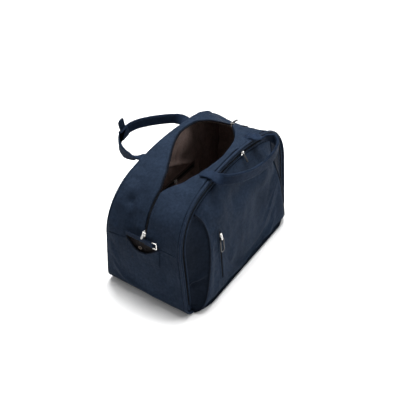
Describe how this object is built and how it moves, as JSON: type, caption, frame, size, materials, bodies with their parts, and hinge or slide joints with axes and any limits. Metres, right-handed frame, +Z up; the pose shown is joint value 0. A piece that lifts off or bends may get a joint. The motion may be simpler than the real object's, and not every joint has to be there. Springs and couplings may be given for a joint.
{
  "type": "golf shoe bag",
  "caption": "Dome-sided soft carry bag with a wide zip mouth, strap handles, a bulging zipped front compartment, a welt pocket and a small slip pocket on one end.",
  "frame": {"origin": "centre of the flat base, on the floor", "axes": "+X along the bag's length, -Y towards the front compartment, +Z up"},
  "size_m": [0.4991, 0.3649, 0.3375],
  "materials": {
    "navy_twill": "fine twill nylon, slightly shiny",
    "navy_piping": "twill-covered cord",
    "navy_webbing": "stitched twill strap",
    "brown_lining": "smooth satin lining",
    "brown_mesh": "open knit mesh",
    "zip_tape": "woven zip tape",
    "zip_coil": "nylon coil",
    "nickel": "bright nickel plate",
    "black_pull": "moulded pull tab",
    "base_board": "stiff plastic sheet"
  },
  "bodies": {
    "shell": {"base_board": "base_board", "bottom_panel": "navy_twill", "end_tab_left": "navy_webbing", "end_tab_right": "navy_webbing", "front_pocket_panel": "navy_twill", "front_wall": "navy_twill", "front_zip_coil": "zip_coil", "front_zip_tape": "zip_tape", "gusset_front": "navy_twill", "gusset_rear": "navy_twill", "handle_anchor_front_left": "navy_webbing", "handle_anchor_front_right": "navy_webbing", "handle_anchor_rear_left": "navy_webbing", "handle_anchor_rear_right": "navy_webbing", "inner_zip_coil": "zip_coil", "inner_zip_tape": "zip_tape", "left_end_panel": "navy_twill", "lining_band": "brown_lining", "lining_front": "brown_lining", "lining_rear": "brown_lining", "main_zip_front": "zip_tape", "main_zip_rear": "zip_tape", "mouth_flap": "navy_twill", "mouth_flap_tape": "zip_tape", "piping_front": "navy_piping", "piping_rear": "navy_piping", "pocket_gusset_left": "navy_twill", "pocket_gusset_right": "navy_twill", "rear_wall": "navy_twill", "right_end_panel": "navy_twill", "slip_pocket_eyelet": "nickel", "slip_pocket_mesh": "brown_mesh", "slip_pocket_panel": "navy_twill", "welt_frame": "zip_tape", "welt_zip_coil": "zip_coil"},
    "slider_left": {"zip_slider_left": "nickel"},
    "puller_left": {"zip_puller_left": "black_pull"},
    "slider_right": {"zip_slider_right": "nickel"},
    "puller_right": {"zip_puller_right": "black_pull"},
    "slider_front": {"front_zip_slider": "nickel"},
    "puller_front": {"front_zip_puller": "black_pull"},
    "slider_welt": {"welt_slider": "nickel"},
    "link_welt": {"welt_link": "nickel"},
    "loop_welt": {"welt_loop_puller": "black_pull"},
    "slider_inner": {"inner_zip_slider": "nickel"},
    "puller_inner": {"inner_zip_puller": "black_pull"},
    "ring_left": {"end_ring_left": "nickel"},
    "ring_right": {"end_ring_right": "nickel"},
    "handle_rear": {"handle_rear": "navy_webbing", "wrap_sleeve": "navy_webbing", "wrap_snap_socket": "nickel"},
    "handle_front": {"handle_front": "navy_webbing"},
    "wrap_flap": {"wrap_flap": "navy_webbing", "wrap_snap_stud": "nickel"}
  },
  "joints": [
    {"name": "left_slider_travel", "type": "hinge", "parent": "shell", "child": "slider_left", "pos_m": [-0.11, -0.004, 0.1744], "axis": [0, 1, 0], "range_deg": [0, 42]},
    {"name": "left_puller_swing", "type": "hinge", "parent": "slider_left", "child": "puller_left", "pos_m": [-0.23858, -0.004, 0.21213], "axis": [0, 1, 0], "range_deg": [0, 110]},
    {"name": "right_slider_travel", "type": "hinge", "parent": "shell", "child": "slider_right", "pos_m": [0, -0.004, -0.25211], "axis": [0, 1, 0], "range_deg": [-29, 0]},
    {"name": "right_puller_swing", "type": "hinge", "parent": "slider_right", "child": "puller_right", "pos_m": [0.13293, -0.004, 0.30628], "axis": [0, -1, 0], "range_deg": [0, 150]},
    {"name": "front_slider_travel", "type": "hinge", "parent": "shell", "child": "slider_front", "pos_m": [0, -0.13826, -0.24451], "axis": [0, -0.996, 0.0894], "range_deg": [-3.5, 11]},
    {"name": "front_puller_swing", "type": "hinge", "parent": "slider_front", "child": "puller_front", "pos_m": [0.036, -0.09299, 0.30446], "axis": [-0.9979, 0.0058, 0.065], "range_deg": [0, 110]},
    {"name": "welt_slider_travel", "type": "slide", "parent": "shell", "child": "slider_welt", "axis": [0, -0.0894, -0.996], "range_m": [0, 0.1]},
    {"name": "welt_link_swing", "type": "hinge", "parent": "slider_welt", "child": "link_welt", "pos_m": [-0.118, -0.13356, 0.18248], "axis": [-1, 0, 0], "range_deg": [0, 85]},
    {"name": "welt_loop_swing", "type": "hinge", "parent": "link_welt", "child": "loop_welt", "pos_m": [-0.118, -0.13445, 0.17252], "axis": [-1, 0, 0], "range_deg": [0, 60]},
    {"name": "inner_slider_travel", "type": "slide", "parent": "shell", "child": "slider_inner", "axis": [1, 0, 0], "range_m": [-0.12, 0.075]},
    {"name": "inner_puller_swing", "type": "hinge", "parent": "slider_inner", "child": "puller_inner", "pos_m": [0.024, 0.0934, 0.14889], "axis": [-1, 0, 0], "range_deg": [0, 120]},
    {"name": "left_ring_swing", "type": "hinge", "parent": "shell", "child": "ring_left", "pos_m": [-0.2434, -0.0306, 0.1965], "axis": [0, 0, -1], "range_deg": [0, 110]},
    {"name": "right_ring_swing", "type": "hinge", "parent": "shell", "child": "ring_right", "pos_m": [0.2434, -0.0306, 0.1965], "axis": [0, 0, 1], "range_deg": [0, 110]},
    {"name": "rear_handle_swing", "type": "hinge", "parent": "shell", "child": "handle_rear", "pos_m": [0, 0.101, 0.291], "axis": [1, 0, 0], "range_deg": [-35, 95]},
    {"name": "front_handle_swing", "type": "hinge", "parent": "shell", "child": "handle_front", "pos_m": [0, -0.098, 0.317], "axis": [-1, 0, 0], "range_deg": [-30, 95]},
    {"name": "wrap_flap_fold", "type": "hinge", "parent": "handle_rear", "child": "wrap_flap", "pos_m": [-0.04037, 0.20437, 0.30662], "axis": [-0.9737, -0.0374, -0.2247], "range_deg": [0, 40]}
  ]
}
